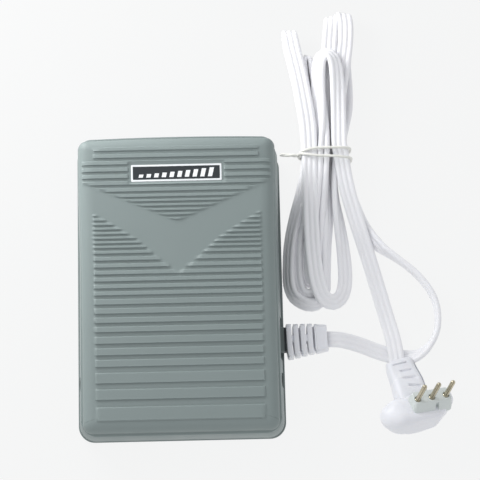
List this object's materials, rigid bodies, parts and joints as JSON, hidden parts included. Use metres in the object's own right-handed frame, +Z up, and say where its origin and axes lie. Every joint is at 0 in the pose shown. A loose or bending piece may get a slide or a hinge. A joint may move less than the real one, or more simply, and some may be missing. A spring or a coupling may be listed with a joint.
{
  "type": "sewing machine foot pedal",
  "caption": "Foot control for a sewing machine: ribbed rocking treadle over a shallow tray with the speed circuit, and a flat cord tied in a hank that ends in a pin plug.",
  "frame": {"origin": "middle of the pedal's footprint, on the floor", "axes": "+Y from the heel to the toe of the treadle, +X towards the side the cord leaves, +Z up"},
  "size_m": [0.1863, 0.2198, 0.0493],
  "materials": {
    "treadle_plastic": "matte moulded ABS, fine grain",
    "tray_plastic": "matte moulded ABS",
    "label": "satin printed badge",
    "steel": "zinc plated",
    "rubber": "matte",
    "black_plastic": "satin",
    "white_plastic": "acetal, satin",
    "cord_pvc": "soft white PVC, satin",
    "plug_pvc": "moulded PVC, satin",
    "pin_metal": "nickel plated brass",
    "board": "phenolic paper board",
    "aluminium": "extruded",
    "copper": "enamelled wire",
    "ferrite": "ferrite core",
    "capacitor": "dipped film box",
    "ceramic": "ceramic disc",
    "resistor": "lacquered body",
    "pot_body": "moulded",
    "trimmer": "moulded",
    "terminal": "moulded",
    "contact": "phosphor bronze",
    "leads": "PVC insulation"
  },
  "bodies": {
    "base": {"base_tray": "tray_plastic", "rubber_feet": "rubber", "foot_screws": "steel", "hinge_pin": "steel", "hinge_caps": "black_plastic", "stop_bumpers": "rubber", "circuit_board": "board", "board_screws": "steel", "plunger_guide": "black_plastic", "slide_potentiometer": "pot_body", "triac": "black_plastic", "heat_sink": "aluminium", "triac_screw": "steel", "film_capacitor": "capacitor", "ceramic_capacitors": "ceramic", "choke_core": "ferrite", "choke_winding": "copper", "resistors": "resistor", "trimmer": "trimmer", "terminal_block": "terminal", "terminal_screws": "steel", "internal_leads": "leads", "cord_clamp": "black_plastic", "clamp_screws": "steel", "strain_relief": "plug_pvc", "return_spring_left": "steel", "return_spring_right": "steel", "plunger_spring": "steel", "cord_to_pedal": "cord_pvc", "cord_hank": "cord_pvc", "cord_to_plug": "cord_pvc", "cord_tie": "white_plastic", "plug_body": "plug_pvc", "plug_insert": "plug_pvc", "plug_pins": "pin_metal"},
    "tread": {"tread_cover": "treadle_plastic", "label_plate": "label", "hinge_bushes": "white_plastic"},
    "slider": {"plunger": "white_plastic", "wiper": "contact"}
  },
  "joints": [
    {"name": "tread_hinge", "type": "hinge", "parent": "base", "child": "tread", "pos_m": [0, -0.045, 0.015], "axis": [-1, 0, 0], "range_deg": [0, 8], "stiffness_Nm_per_rad": 6.4, "springref_deg": -5.73, "deforming": ["return_spring_left", "return_spring_right"]},
    {"name": "plunger_slide", "type": "slide", "parent": "base", "child": "slider", "axis": [0, 0, -1], "range_m": [0, 0.0054], "stiffness_N_per_m": 120, "springref_m": -0.006, "deforming": ["plunger_spring"]}
  ],
  "couplings": [
    {"joint": "plunger_slide", "follows": "tread_hinge", "m_per_rad": 0.0385}
  ]
}
